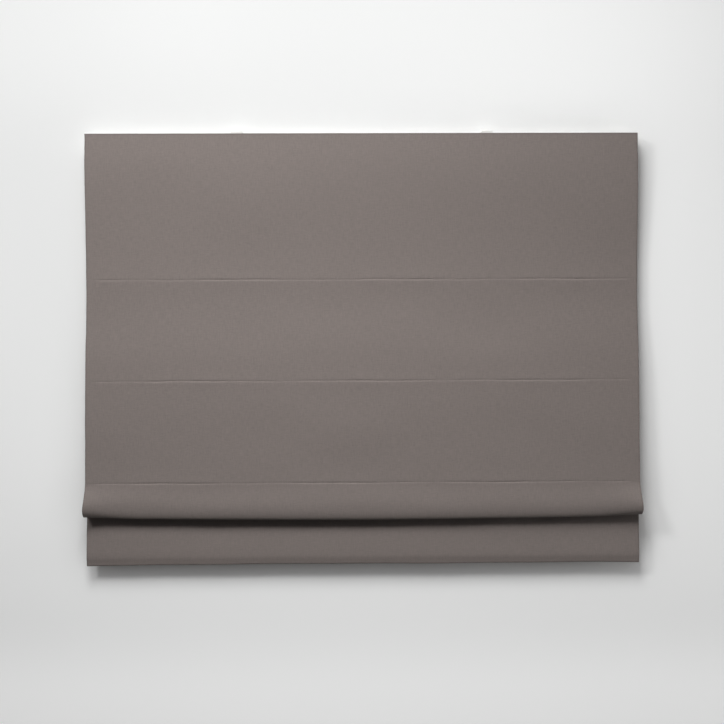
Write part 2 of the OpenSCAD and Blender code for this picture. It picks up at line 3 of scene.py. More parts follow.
import bpy
import numpy as np
from mathutils import Matrix, Vector


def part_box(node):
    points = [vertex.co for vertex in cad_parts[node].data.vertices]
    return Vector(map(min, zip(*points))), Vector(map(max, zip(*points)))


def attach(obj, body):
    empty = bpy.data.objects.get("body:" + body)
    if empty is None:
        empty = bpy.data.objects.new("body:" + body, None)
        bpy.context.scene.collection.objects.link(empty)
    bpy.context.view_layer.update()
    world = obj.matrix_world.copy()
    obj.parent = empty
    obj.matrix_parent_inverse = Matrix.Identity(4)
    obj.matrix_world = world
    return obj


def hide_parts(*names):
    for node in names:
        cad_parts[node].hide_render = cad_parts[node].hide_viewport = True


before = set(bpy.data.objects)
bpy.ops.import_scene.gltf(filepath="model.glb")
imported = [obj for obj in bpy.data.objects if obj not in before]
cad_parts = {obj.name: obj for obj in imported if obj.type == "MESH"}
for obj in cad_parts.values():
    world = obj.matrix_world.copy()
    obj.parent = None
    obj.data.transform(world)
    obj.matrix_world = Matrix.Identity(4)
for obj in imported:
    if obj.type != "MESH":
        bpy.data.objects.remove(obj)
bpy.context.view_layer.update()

bpy.ops.object.select_all(action="DESELECT")

# The headrail is an extruded aluminium channel, open along its top, and the two wall brackets are
# bent from steel strip. Both carry a baked white enamel with a faint orange-peel skin.
ENAMEL_WHITE = (0.80, 0.79, 0.765, 1.0)
broad_share = 0.03
rough_spread = 0.25


def add_node(tree, kind, inputs=None, **settings):
    node = tree.nodes.new(kind)
    for key, value in settings.items():
        setattr(node, key, value)
    for socket, value in (inputs or {}).items():
        if isinstance(value, bpy.types.NodeSocket):
            tree.links.new(value, node.inputs[socket])
        else:
            node.inputs[socket].default_value = value
    return node


def compute(tree, operation, *values):
    return add_node(tree, "ShaderNodeMath", dict(enumerate(values)), operation=operation).outputs[0]


def new_group(name, takes, gives):
    tree = bpy.data.node_groups.new(name, "ShaderNodeTree")
    for label, kind in takes:
        tree.interface.new_socket(label, in_out="INPUT", socket_type="NodeSocket" + kind)
    for label, kind in gives:
        tree.interface.new_socket(label, in_out="OUTPUT", socket_type="NodeSocket" + kind)
    return tree, tree.nodes.new("NodeGroupInput").outputs, tree.nodes.new("NodeGroupOutput").inputs


skin_group, takes, gives = new_group(
    "moulded_skin",
    [("Colour", "Color"), ("Tone", "Float"), ("Grain", "Float"), ("Roughness", "Float")],
    [("Colour", "Color"), ("Roughness", "Float"), ("Height", "Float")],
)
at = add_node(skin_group, "ShaderNodeTexCoord").outputs["Object"]
noise = {"Vector": at, "Scale": takes["Grain"], "Detail": 3.0}
fine = add_node(skin_group, "ShaderNodeTexNoise", noise).outputs[0]
noise["Scale"] = compute(skin_group, "MULTIPLY", takes["Grain"], broad_share)
broad = add_node(skin_group, "ShaderNodeTexNoise", noise).outputs[0]
both = compute(skin_group, "SUBTRACT", compute(skin_group, "ADD", fine, broad), 1.0)
shade = compute(skin_group, "MULTIPLY_ADD", both, takes["Tone"], 1.0)
toned = add_node(
    skin_group, "ShaderNodeVectorMath", {0: takes["Colour"], "Scale": shade}, operation="SCALE"
)
uneven = compute(skin_group, "SUBTRACT", broad, 0.5)
rough = compute(skin_group, "MULTIPLY_ADD", uneven, rough_spread, takes["Roughness"])
skin_group.links.new(toned.outputs[0], gives["Colour"])
skin_group.links.new(rough, gives["Roughness"])
skin_group.links.new(fine, gives["Height"])


def new_finish(name):
    material = bpy.data.materials.new(name)
    material.use_nodes = True
    return material, material.node_tree, material.node_tree.nodes["Principled BSDF"]


def raise_surface(tree, shader, height, distance, strength=0.5):
    bump = add_node(tree, "ShaderNodeBump", {"Height": height, "Distance": distance, "Strength": strength})
    tree.links.new(bump.outputs["Normal"], shader.inputs["Normal"])


def skin_finish(name, colour, tone, grain, roughness, bump):
    material, tree, shader = new_finish(name)
    skin = add_node(tree, "ShaderNodeGroup", node_tree=skin_group)
    for label, value in (("Colour", colour), ("Tone", tone), ("Grain", grain), ("Roughness", roughness)):
        skin.inputs[label].default_value = value
    tree.links.new(skin.outputs["Colour"], shader.inputs["Base Color"])
    tree.links.new(skin.outputs["Roughness"], shader.inputs["Roughness"])
    raise_surface(tree, shader, skin.outputs["Height"], bump)
    return material, shader


def dress(material, *names):
    for name in names:
        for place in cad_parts[name].material_slots:
            place.material = material


enamel, shader = skin_finish(
    "white_enamel", ENAMEL_WHITE, tone=0.05, grain=900.0, roughness=0.38, bump=0.00006
)
shader.inputs["Coat Weight"].default_value = 0.25
dress(enamel, "headrail", "mounting_bracket_left", "mounting_bracket_right")

# End caps, cord spools, their cradles and the shaft collars are injection moulded in white plastic.
# The caps push into the rail's ends, and the cradles clip onto the rail's floor.
PLASTIC_WHITE = (0.84, 0.83, 0.80, 1.0)
plastic, shader = skin_finish(
    "white_plastic", PLASTIC_WHITE, tone=0.04, grain=1500.0, roughness=0.48, bump=0.00005
)
shader.inputs["Subsurface Weight"].default_value = 0.05
dress(plastic, "end_cap_left", "end_cap_right", "shaft_collar_left", "shaft_collar_right")
for side in ("left", "centre", "right"):
    dress(plastic, "cord_spool_" + side, "spool_cradle_" + side)

# Lift shaft, spring, arbor, latches, their rivets and the hem's weight bar are zinc-plated steel,
# drawn, rolled or stamped, with a faintly mottled skin.
ZINC = (0.56, 0.57, 0.58, 1.0)
zinc, shader = skin_finish("zinc_steel", ZINC, tone=0.16, grain=420.0, roughness=0.36, bump=0.00002)
shader.inputs["Metallic"].default_value = 1.0
dress(zinc, "lift_shaft", "power_spring", "spring_arbor", "hem_bar")
for side in ("left", "right"):
    dress(zinc, "bracket_latch_" + side, "latch_rivet_" + side)

# The spring's housing and cover, the cord rings and the stops on the cord ends are moulded in
# milky clear plastic. The stops are clamped on the cords under the last rings.
MILKY = (0.86, 0.88, 0.89, 1.0)
milky, shader = skin_finish(
    "clear_plastic", MILKY, tone=0.03, grain=1100.0, roughness=0.22, bump=0.00004
)
shader.inputs["Transmission Weight"].default_value = 0.35
dress(milky, "spring_housing", "spring_cover")
for side in ("left", "centre", "right"):
    dress(milky, "cord_stop_" + side)
for number in (1, 2, 3, 4):
    dress(milky, "cord_rings_%d" % number)

# The stiffening rods are pultruded glass fibre with a smooth resin skin. They are slid into the
# tapes from one end and stay there by friction.
RESIN_WHITE = (0.80, 0.80, 0.77, 1.0)
resin = skin_finish(
    "rod_resin", RESIN_WHITE, tone=0.06, grain=650.0, roughness=0.30, bump=0.00003
)[0]
for number in (1, 2, 3, 4):
    dress(resin, "stiffening_rod_%d" % number)

# Lift cords and the turns of cord on the spools are braided polyester, off white and matt. The
# cords run down from the spools through the rings on the rods to the stops.
CORD_WHITE = (0.66, 0.64, 0.60, 1.0)
braid_step = 0.0011
braid_high = 0.0002
braid_shade = 0.12
braid_mean = 0.94
cord_braid, tree, shader = new_finish("braided_cord")
at = add_node(tree, "ShaderNodeTexCoord").outputs["Object"]
axes = add_node(tree, "ShaderNodeSeparateXYZ", {"Vector": at}).outputs
round_it = compute(tree, "ADD", axes["X"], axes["Y"])
strands = []
for lean in (1.0, -1.0):
    slant = compute(tree, "MULTIPLY_ADD", round_it, lean, axes["Z"])
    strands.append(compute(tree, "SINE", compute(tree, "MULTIPLY", slant, 2 * math.pi / braid_step)))
braid = compute(tree, "MULTIPLY", strands[0], strands[1])
# The cord is darker where the braid sinks and lighter on its crests: painted shade and painted highlight
# that follow the braid's height.
tone = compute(tree, "MULTIPLY_ADD", braid, braid_shade, braid_mean)
tint = add_node(tree, "ShaderNodeVectorMath", {0: CORD_WHITE[:3], "Scale": tone}, operation="SCALE")
tree.links.new(tint.outputs[0], shader.inputs["Base Color"])
shader.inputs["Roughness"].default_value = 0.8
raise_surface(tree, shader, braid, braid_high, strength=0.8)
for side in ("left", "centre", "right"):
    dress(cord_braid, "lift_cord_" + side, "cord_winding_" + side)

# The cloth is one length of woven polyester in grey taupe, cut wide enough to turn in both sides
# and long enough to turn up a hem. It hangs from the rail by its loop tape, straight over three
# rod seams, then drops in one hanging fold and comes down behind it as a straight hem panel.
CLOTH_TAUPE = (0.244, 0.211, 0.199, 1.0)
CLOTH_FLECK = (0.278, 0.236, 0.217, 1.0)
cloth_half = 0.6
cloth_thick = 0.00115
side_hem = 0.028
hem_fold = 0.060
layer_step = 0.00118
edge_shade_w = 0.0022
rail_line = (-0.0380, 0.016)
rail_foot_z = -0.022
rail_rows = 8
rail_row_ease = 1.8
drop_rows = 20
seam_lines = ((-0.0263, -0.300), (-0.03865, -0.520), (-0.04865, -0.740))
seam_leans = (0.0, 0.050, 0.055)
near_rows = (0.0008, 0.0016, 0.0026, 0.004, 0.006, 0.010)
wide_rows = near_rows + (0.016, 0.024, 0.034)
seam_reach = wide_rows[-1]
seam_proud = 0.0009
seam_mean = 0.6
seam_least = 0.1
seam_fade = 0.016
seam_inset = 0.012
seam_inset_fade = 0.022
groove_w = 0.0019
# The next three numbers set a painted highlight: a thin lighter line just below each seam, where the cloth
# faces up into the light.
highlight_w = 0.0012
highlight_drop = 0.0006
highlight_steady = 0.7
slow_wave = 0.0007
quick_wave = 0.0004
fold_mid_y = -0.0482
fold_low_z = -0.8202
fold_r_mid = 0.0074
fold_tall_mid = 0.0235
flare_power = 14
flare_r = 0.0080
flare_tall = -0.0040
flare_out = -0.0030
fold_sag = 0.0060
sag_power = 1.4
end_lift = 0.0030
end_lift_from = 0.8
right_droop = 0.0004
right_droop_w = 0.25
fold_spread = 0.0024
fold_spread_z = -0.800
fold_spread_h = 0.022
leg_rows = 10
fold_rows = 24
back_rows = 7
ridge = (-0.03555, -0.7504)
ridge_r = 0.0035
ridge_rows = 12
hem_line_y = -0.03205
hem_low_z = -0.918
hem_turn_r = 0.00205
hem_top_gap = 0.004
hem_foot_gap = 0.001
hem_rows = 40
hem_turn_rows = 10
hem_bulge = 0.0019
hem_bulge_z = -0.9015
hem_bulge_rise = 0.042
hem_dip = 0.0042
hem_dip_z = -0.818
hem_dip_h = 0.030
hem_dip_end = -0.05
hem_dip_fade = 0.45
left_corner_drop = 0.0021
right_corner_drop = 0.0012
corner_power = 9
rail_tuck = 0.0009
rail_tuck_z = -0.026
rail_tuck_h = 0.004
side_out_max = 0.0002
side_power = 8
edge_steps = (0.0006, 0.0014, 0.0026, 0.0044)
face_columns = 133


def ripple(value, waves):
    """Sum of sine waves, each given as its size, its length and its phase."""
    return sum(size * math.sin(2 * math.pi * value / length + phase) for size, length, phase in waves)


def held(t):
    return min(1.0, max(0.0, t))


def eased(t):
    return t * t * (3 - 2 * t)


def bell(distance, width):
    return math.exp(-((distance / width) ** 2))


def seam_drift(x, seam):
    waves = ((0.0004, 0.31, 0.7 + 2.1 * seam), (0.00025, 0.127, 1.9 * seam), (0.0001, 0.043, seam))
    return ripple(x, waves)


def seam_form(x, seam, step):
    """How far the cloth swells beside a seam, and how much a painted highlight lightens it just below the
    seam line.
    """
    waves = ((0.28, 0.37, 1.3 * seam), (0.2, 0.113, 0.4 + seam), (0.12, 0.051, 2.0 * seam))
    inset = eased(held((cloth_half - abs(x) - seam_inset) / seam_inset_fade))
    strength = max(seam_least, seam_mean + ripple(x, waves)) * inset
    proud = seam_proud * strength * (1 - bell(step, groove_w))
    highlight = (highlight_steady * inset + (1 - highlight_steady) * strength) * bell(step + highlight_drop, highlight_w)
    return proud, highlight


def panel_wave(x, z):
    slow = math.sin(9.2 * x + 3.1 * z + 0.4) + 0.7 * math.sin(14.3 * x - 5.2 * z + 1.7)
    return slow_wave * slow + quick_wave * math.sin(23.0 * x + 11.0 * z)


def fold_rise(x):
    share = abs(x) / cloth_half
    at_ends = eased(max(0.0, (share - end_lift_from) / (1 - end_lift_from)))
    at_right = eased(held(x / right_droop_w))
    return fold_sag * share ** sag_power + end_lift * at_ends - right_droop * at_right


def drop(start, end, count, x, wave, leans=(0.0, 0.0)):
    points = []
    span = end[1] - start[1]
    for i in range(count):
        t = i / count
        bend = span * (leans[0] * t * (1 - t) ** 2 - leans[1] * t * t * (1 - t))
        y = start[0] + (end[0] - start[0]) * eased(t) + bend
        z = start[1] + span * t
        points.append((y + wave * math.sin(math.pi * t) ** 2 * panel_wave(x, z), z, 0.0))
    return points


def seam_points(x, seam, steps):
    y, z = seam_lines[seam]
    points = []
    for step in steps:
        proud, highlight = seam_form(x, seam, step)
        proud *= bell(step, seam_fade)
        points.append((y + seam_leans[seam] * step - proud, z + step + seam_drift(x, seam), highlight))
    return points


def hem_swell(x, z):
    """How far the hem panel stands forward: out over the weight bar, back under the fold."""
    bulge_fall = hem_bulge_z - hem_low_z - hem_turn_r
    away = (z - hem_bulge_z) / (hem_bulge_rise if z > hem_bulge_z else -bulge_fall)
    dip = hem_dip * (1 - eased(held((x - hem_dip_end) / hem_dip_fade))) + ripple(x, ((0.0006, 0.17, 0.4),))
    return hem_bulge * eased(max(0.0, 1 - away)) - dip * bell(z - hem_dip_z, hem_dip_h)


def arc(centre, radius, start, end, count, tall=1.0):
    turns = [math.radians(start + (end - start) * i / count) for i in range(count + 1)]
    return [(centre[0] + radius * math.cos(a), centre[1] + tall * radius * math.sin(a), 0.0) for a in turns]


def cloth_line(x):
    """Middle of the cloth at one place across it, from the top edge to the end of the turned-up hem."""
    rail_drop = rail_foot_z - rail_line[1]
    line = []
    for i in range(rail_rows):
        line.append((rail_line[0], rail_line[1] + rail_drop * (i / rail_rows) ** rail_row_ease, 0.0))
    above = wide_rows[::-1] + (0.0,)
    below = tuple(-step for step in wide_rows)
    hung_from, hung_lean = (rail_line[0], rail_foot_z), 0.0
    for seam, ((seam_y, seam_z), lean) in enumerate(zip(seam_lines, seam_leans)):
        hung_to = (seam_y + lean * seam_reach, seam_z + seam_reach)
        line += drop(hung_from, hung_to, drop_rows, x, 1.0, (hung_lean, lean))[min(seam, 1):]
        line += seam_points(x, seam, above + below if seam < 2 else above)
        hung_from, hung_lean = (seam_y - lean * seam_reach, seam_z - seam_reach), lean

    flare = (abs(x) / cloth_half) ** flare_power
    fold_r = fold_r_mid + flare_r * flare
    fold_tall = fold_tall_mid + flare_tall * flare
    fold_mid = (fold_mid_y + flare_out * flare, fold_low_z + fold_rise(x) + fold_tall + cloth_thick / 2)
    leg = seam_z - fold_mid[1]
    last = near_rows[-1]
    for down in near_rows + tuple(last + (leg - last) * i / leg_rows for i in range(1, leg_rows)):
        t = down / leg
        proud, highlight = seam_form(x, seam, -down)
        bend = -leg * lean * t * (1 - t) ** 2
        y = seam_y + (fold_mid[0] - fold_r - seam_y) * eased(t) + bend - proud * (1 - t)
        z = seam_z - down + seam_drift(x, seam) * (1 - t)
        line.append((y + 0.5 * math.sin(math.pi * t) * panel_wave(x, z), z, highlight))
    line += arc(fold_mid, fold_r, 180, 360, fold_rows, fold_tall / fold_r)
    back_leg = ((fold_mid[0] + fold_r, fold_mid[1]), (ridge[0] - ridge_r, ridge[1]))
    line += drop(*back_leg, back_rows, x, 0.0)[1:]
    line += arc(ridge, ridge_r, 180, 0, ridge_rows)

    corner_drop = (left_corner_drop if x < 0 else right_corner_drop) * (abs(x) / cloth_half) ** corner_power
    low_edge = hem_low_z + ripple(x, ((0.0005, 0.62, 2.9), (0.0003, 0.23, 0.6))) - corner_drop
    hem_turn = (hem_line_y + hem_turn_r, low_edge + hem_turn_r + cloth_thick / 2)
    panel_top = (hem_line_y, ridge[1] - hem_top_gap)
    panel = drop(panel_top, (hem_line_y, hem_turn[1] + hem_foot_gap), hem_rows, x, 0.5)
    line += [(y - hem_swell(x, z), z, highlight) for y, z, highlight in panel]
    line += arc(hem_turn, hem_turn_r, 180, 360, hem_turn_rows)
    turned_up = hem_low_z + hem_fold - hem_turn[1]
    for i in range(1, hem_turn_rows + 1):
        line.append((hem_line_y + 2 * hem_turn_r, hem_turn[1] + turned_up * i / hem_turn_rows, 0.0))
    return np.array(line)


def across_cloth():
    """Each column of the cloth: its place across, how far behind the face, and its place on the cut."""
    turn_r = layer_step / 2
    edge_x = cloth_half - cloth_thick / 2 - turn_r
    right = []
    for i in range(4):
        right.append((edge_x - side_hem * (1 - i / 4), layer_step, cloth_half + side_hem * (1 - i / 4)))
    for i in range(5):
        a = math.pi * i / 4
        right.append((edge_x + turn_r * math.sin(a), turn_r + turn_r * math.cos(a), cloth_half))
    near = [edge_x - step for step in edge_steps]
    between = np.linspace(near[-1], -near[-1], face_columns)[1:-1]
    face = [(x, 0.0, x) for x in near + list(between) + [-x for x in reversed(near)]]
    left = [(-x, behind, -flat) for x, behind, flat in reversed(right)]
    return right + face + left


columns = across_cloth()
lines = [cloth_line(x) for x, behind, flat in columns]
row_count = len(lines[0])
middle = lines[len(lines) // 2][:, :2]
flat_rows = np.concatenate(([0.0], np.cumsum(np.linalg.norm(np.diff(middle, axis=0), axis=1))))
bpy.ops.mesh.primitive_grid_add(x_subdivisions=len(columns) - 1, y_subdivisions=row_count - 1, size=1.0)
cloth = bpy.context.object
cloth.name = cloth.data.name = "hung_cloth"
grid = np.array([v.co[:2] for v in cloth.data.vertices])
column_of = np.rint((0.5 - grid[:, 0]) * (len(columns) - 1)).astype(int)
row_of = np.rint((0.5 - grid[:, 1]) * (row_count - 1)).astype(int)
# Painted highlight: a thin lighter line just below each seam line, kept as its own attribute.
pressed = cloth.data.attributes.new("pressed", "FLOAT", "POINT")
# Painted shade: a darker band along the cloth's sides and top edge, kept as its own attribute.
turned = cloth.data.attributes.new("turned", "FLOAT", "POINT")
for vertex, column, row in zip(cloth.data.vertices, column_of, row_of):
    x, behind, flat = columns[column]
    line = lines[column]
    ahead = line[min(row + 1, row_count - 1), :2] - line[max(row - 1, 0), :2]
    ahead = ahead / np.linalg.norm(ahead)
    y = line[row, 0] - behind * ahead[1]
    z = line[row, 1] + behind * ahead[0]
    tuck = rail_tuck * bell(z - rail_tuck_z, rail_tuck_h)
    tuck += max(-side_out_max, ripple(z, ((0.0005, 0.37, 0.9), (0.0002, 0.081, 2.0))))
    in_fold = held((ridge[0] - y) / ridge_r)
    tuck -= fold_spread * in_fold * bell(z - fold_spread_z, fold_spread_h)
    vertex.co = (x - tuck * math.copysign((abs(x) / cloth_half) ** side_power, x), y, z)
    pressed.data[vertex.index].value = line[row, 2]
    # The band is darkest at the sides and top edge and fades within a few millimetres: painted shade.
    from_edge = cloth_half - abs(x)
    if row < rail_rows:
        from_edge = min(from_edge, rail_line[1] - z)
    turned.data[vertex.index].value = bell(from_edge, edge_shade_w)
weave_map = cloth.data.uv_layers.active
for loop in cloth.data.loops:
    column, row = column_of[loop.vertex_index], row_of[loop.vertex_index]
    weave_map.data[loop.index].uv = (columns[column][2], -flat_rows[row])
thick = cloth.modifiers.new("thickness", "SOLIDIFY")
thick.thickness = cloth_thick
thick.offset = 0.0
bpy.ops.object.modifier_apply(modifier=thick.name)
bpy.ops.object.mode_set(mode="EDIT")
bpy.ops.mesh.select_all(action="SELECT")
bpy.ops.mesh.normals_make_consistent(inside=False)
bpy.ops.object.mode_set(mode="OBJECT")
bpy.ops.object.shade_smooth()

crown_dip = 0.45
thread_hop = 7.3
thread_run = 0.045
slub_sizes = ((70.0, 520.0, 1.0), (430.0, 60.0, 1.0))
# The next two numbers scale the weave's colour by thread height: painted shade in the gaps between threads.
gap_dark = 0.80
gap_lift = 0.24
weave_group, takes, gives = new_group(
    "plain_weave",
    [("Vector", "Vector"), ("Thread", "Float"), ("Colour", "Color"), ("Fleck", "Color"), ("Tone", "Float")],
    [("Colour", "Color"), ("Height", "Float")],
)
axes = add_node(weave_group, "ShaderNodeSeparateXYZ", {"Vector": takes["Vector"]}).outputs
warp_at = compute(weave_group, "DIVIDE", axes["X"], takes["Thread"])
weft_at = compute(weave_group, "DIVIDE", axes["Y"], takes["Thread"])
warp_wave = compute(weave_group, "SINE", compute(weave_group, "MULTIPLY", warp_at, math.pi))
weft_wave = compute(weave_group, "SINE", compute(weave_group, "MULTIPLY", weft_at, math.pi))
crossing = compute(weave_group, "MULTIPLY", warp_wave, weft_wave)
warp_over = compute(weave_group, "GREATER_THAN", crossing, 0.0)
warp_round = compute(weave_group, "ABSOLUTE", warp_wave)
weft_round = compute(weave_group, "ABSOLUTE", weft_wave)


def thread_height(across, along):
    crown = compute(weave_group, "MULTIPLY_ADD", along, crown_dip, 1.0 - crown_dip)
    return compute(weave_group, "MULTIPLY", compute(weave_group, "SQRT", across), crown)


def thread_tone(index, along, layer):
    step = compute(weave_group, "MULTIPLY", compute(weave_group, "FLOOR", index), thread_hop)
    run = compute(weave_group, "MULTIPLY", along, thread_run)
    spot = add_node(weave_group, "ShaderNodeCombineXYZ", {0: step, 1: run, 2: layer}).outputs[0]
    noise = {"Vector": spot, "Scale": 1.0, "Detail": 2.0}
    return add_node(weave_group, "ShaderNodeTexNoise", noise).outputs[0]


def pick(over, under):
    change = compute(weave_group, "SUBTRACT", over, under)
    return compute(weave_group, "MULTIPLY_ADD", change, warp_over, under)


height = pick(thread_height(warp_round, weft_round), thread_height(weft_round, warp_round))
yarn = pick(thread_tone(warp_at, weft_at, 0.0), thread_tone(weft_at, warp_at, 5.0))
slubs = []
for size in slub_sizes:
    stretched = add_node(
        weave_group, "ShaderNodeVectorMath", {0: takes["Vector"], 1: size}, operation="MULTIPLY"
    ).outputs[0]
    noise = {"Vector": stretched, "Scale": 1.0, "Detail": 2.0}
    slubs.append(add_node(weave_group, "ShaderNodeTexNoise", noise).outputs[0])
slub = compute(weave_group, "SUBTRACT", compute(weave_group, "ADD", *slubs), 1.0)
cast = compute(weave_group, "ADD", compute(weave_group, "SUBTRACT", yarn, 0.5), slub)
# Painted shade: darker where the thread height is low, between the threads.
thread_gap_shade = compute(weave_group, "MULTIPLY_ADD", height, gap_lift, gap_dark)
varied = compute(weave_group, "MULTIPLY_ADD", cast, takes["Tone"], 1.0)
shade = compute(weave_group, "MULTIPLY", varied, thread_gap_shade)
mixed = add_node(
    weave_group, "ShaderNodeMix", {"Factor": yarn, 6: takes["Colour"], 7: takes["Fleck"]}, data_type="RGBA"
)
toned = add_node(
    weave_group, "ShaderNodeVectorMath", {0: mixed.outputs[2], "Scale": shade}, operation="SCALE"
)
weave_group.links.new(toned.outputs[0], gives["Colour"])
weave_group.links.new(height, gives["Height"])


def woven_finish(name, vector_from, thread, colour, fleck, tone, bump):
    material, tree, shader = new_finish(name)
    at = add_node(tree, "ShaderNodeTexCoord").outputs[vector_from]
    weave = add_node(tree, "ShaderNodeGroup", {"Vector": at}, node_tree=weave_group)
    for label, value in (("Thread", thread), ("Colour", colour), ("Fleck", fleck), ("Tone", tone)):
        weave.inputs[label].default_value = value
    tree.links.new(weave.outputs["Colour"], shader.inputs["Base Color"])
    shader.inputs["Roughness"].default_value = 0.86
    shader.inputs["Specular IOR Level"].default_value = 0.25
    shader.inputs["Sheen Weight"].default_value = 0.12
    shader.inputs["Sheen Roughness"].default_value = 0.45
    raise_surface(tree, shader, weave.outputs["Height"], bump)
    return material, tree, shader, weave


cloth_weave, tree, shader, weave = woven_finish(
    "taupe_weave", "UV", thread=0.00062, colour=CLOTH_TAUPE, fleck=CLOTH_FLECK, tone=0.22, bump=0.00022
)
# A painted highlight lightens the cloth just below each seam line, and painted shade darkens its outer
# edges, on top of the weave's colour.
highlight_lift = 0.22
edge_shade = -0.24
press = add_node(tree, "ShaderNodeAttribute", attribute_name="pressed").outputs["Fac"]
painted_light = compute(tree, "MULTIPLY_ADD", press, highlight_lift, 1.0)
# Painted shade along the cloth's outer edges.
painted_edge_shade = add_node(tree, "ShaderNodeAttribute", attribute_name="turned").outputs["Fac"]
painted_light = compute(tree, "MULTIPLY_ADD", painted_edge_shade, edge_shade, painted_light)
painted_weave = add_node(
    tree, "ShaderNodeVectorMath", {0: weave.outputs["Colour"], "Scale": painted_light}, operation="SCALE"
)
tree.links.new(painted_weave.outputs[0], shader.inputs["Base Color"])
cloth.data.materials.append(cloth_weave)
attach(cloth, "blind")
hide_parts("blind_cloth")

# Each rod lies in a pocket of woven tape, folded double and sewn by its foot along the back of the
# cloth. The lower two tapes stand up, because the lift cords hold their rods above the seams.
TAPE_TAUPE = (0.285, 0.255, 0.240, 1.0)
TAPE_FLECK = (0.320, 0.285, 0.262, 1.0)
tape_layer = 0.00038
tape_apart = 0.0004
tape_foot = 0.008
foot_bend = 0.0012
foot_rows = 6
neck_rows = 12
neck_stop = 0.0026
loop_r = 0.00245
loop_open = 8
loop_rows = 26
tape_columns = 72
tape_sway = 0.00012
sway_pace = 31.0
tape_weave = woven_finish(
    "tape_weave", "UV", thread=0.00085, colour=TAPE_TAUPE, fleck=TAPE_FLECK, tone=0.2, bump=0.0002
)[0]


def tape_frame(rod, foot_y, seam_z):
    corner = Vector((foot_y, seam_z + tape_apart))
    reach = Vector(rod) - corner
    out = reach.normalized()
    return corner, out, Vector((-out.y, out.x)), reach.length - neck_stop


def tape_path(rod, foot_y, seam_z):
    corner, out, side, neck = tape_frame(rod, foot_y, seam_z)
    path = []
    for layer in (-0.5, 0.5):
        leg = []
        for i in range(foot_rows + 1):
            z = seam_z + tape_foot - (tape_foot - foot_bend) * i / foot_rows
            leg.append((foot_y + layer * tape_apart, z))
        for i in range(neck_rows + 1):
            along = foot_bend + (neck - foot_bend) * i / neck_rows
            leg.append(tuple(corner + out * along + side * layer * tape_apart))
        path.append(leg)
    loop = []
    for i in range(loop_rows + 1):
        a = math.radians(loop_open + (360 - 2 * loop_open) * i / loop_rows)
        loop.append(tuple(Vector(rod) + loop_r * (-out * math.cos(a) - side * math.sin(a))))
    return path[0] + loop + path[1][::-1]


tapes = []
for number in (1, 2, 3, 4):
    rod_low, rod_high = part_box("stiffening_rod_%d" % number)
    tape_low, tape_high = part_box("rod_tape_%d" % number)
    rod = ((rod_low[1] + rod_high[1]) / 2, (rod_low[2] + rod_high[2]) / 2)
    standing = number > 2
    seam_z = tape_low[2] if standing else tape_high[2] - tape_foot
    foot_y = tape_low[1] + tape_apart
    path = tape_path(rod, foot_y, seam_z)
    steps = np.linalg.norm(np.diff(np.array(path), axis=0), axis=1)
    path_at = np.concatenate(([0.0], np.cumsum(steps)))
    bpy.ops.mesh.primitive_grid_add(x_subdivisions=tape_columns, y_subdivisions=len(path) - 1, size=1.0)
    tape = bpy.context.object
    tape.name = tape.data.name = "sewn_tape_%d" % number
    rows = [round((0.5 - v.co.y) * (len(path) - 1)) for v in tape.data.vertices]
    shares = [v.co.x for v in tape.data.vertices]
    for vertex, row, share in zip(tape.data.vertices, rows, shares):
        x = share * (tape_high[0] - tape_low[0])
        past_foot = foot_rows + 1 < row < len(path) - foot_rows - 2
        sway = tape_sway * math.sin(sway_pace * x + number) if past_foot else 0.0
        vertex.co = (x, path[row][0] + sway, path[row][1])
    for loop in tape.data.loops:
        x = shares[loop.vertex_index] * (tape_high[0] - tape_low[0])
        tape.data.uv_layers.active.data[loop.index].uv = (x, path_at[rows[loop.vertex_index]])
    thick = tape.modifiers.new("thickness", "SOLIDIFY")
    thick.thickness = tape_layer
    thick.offset = 0.0
    bpy.ops.object.modifier_apply(modifier=thick.name)
    bpy.ops.object.mode_set(mode="EDIT")
    bpy.ops.mesh.select_all(action="SELECT")
    bpy.ops.mesh.normals_make_consistent(inside=False)
    bpy.ops.object.mode_set(mode="OBJECT")
    bpy.ops.object.shade_smooth()
    tape.data.materials.append(tape_weave)
    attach(tape, "blind")
    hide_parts("rod_tape_%d" % number)
    tapes.append((rod, foot_y, seam_z))

# All seams are lockstitched in polyester thread of the cloth's own colour: through each tape's foot,
# so that the row also shows on the front, under each rod's sleeve, and along the turned-in hems.
THREAD_TAUPE = (0.300, 0.262, 0.245, 1.0)
stitch_long = 0.0030
stitch_step = 0.0037
thread_r = 0.00024
thread_round = 0.7
sewn_half = 0.566
sewn_points = 160
foot_margin = 0.0024
hem_margin = 0.004
neck_margin = 0.0035
side_run_from = 9
side_run_end = 22
thread = skin_finish(
    "sewing_thread", THREAD_TAUPE, tone=0.2, grain=2600.0, roughness=0.7, bump=0.00003
)[0]
lying = (0, math.radians(90), 0)
bpy.ops.mesh.primitive_cylinder_add(vertices=6, radius=thread_r, depth=stitch_long, rotation=lying)
bpy.ops.object.transform_apply(location=True, rotation=True, scale=True)
stitch = bpy.context.object
stitch.name = "stitch"
stitch.data.materials.append(thread)
for edge in stitch.data.edges:
    ends = [stitch.data.vertices[i].co.x for i in edge.vertices]
    edge.select = ends[0] * ends[1] > 0
for face in stitch.data.polygons:
    face.select = abs(face.normal.x) > 0.9
bpy.ops.object.mode_set(mode="EDIT")
bpy.ops.mesh.select_mode(type="EDGE")
bpy.ops.mesh.bevel(offset=thread_round * thread_r, offset_type="OFFSET", segments=1, affect="EDGES")
bpy.ops.mesh.select_all(action="SELECT")
bpy.ops.transform.translate(value=(stitch_step / 2, 0, 0))
bpy.ops.object.mode_set(mode="OBJECT")
bpy.ops.object.shade_smooth()


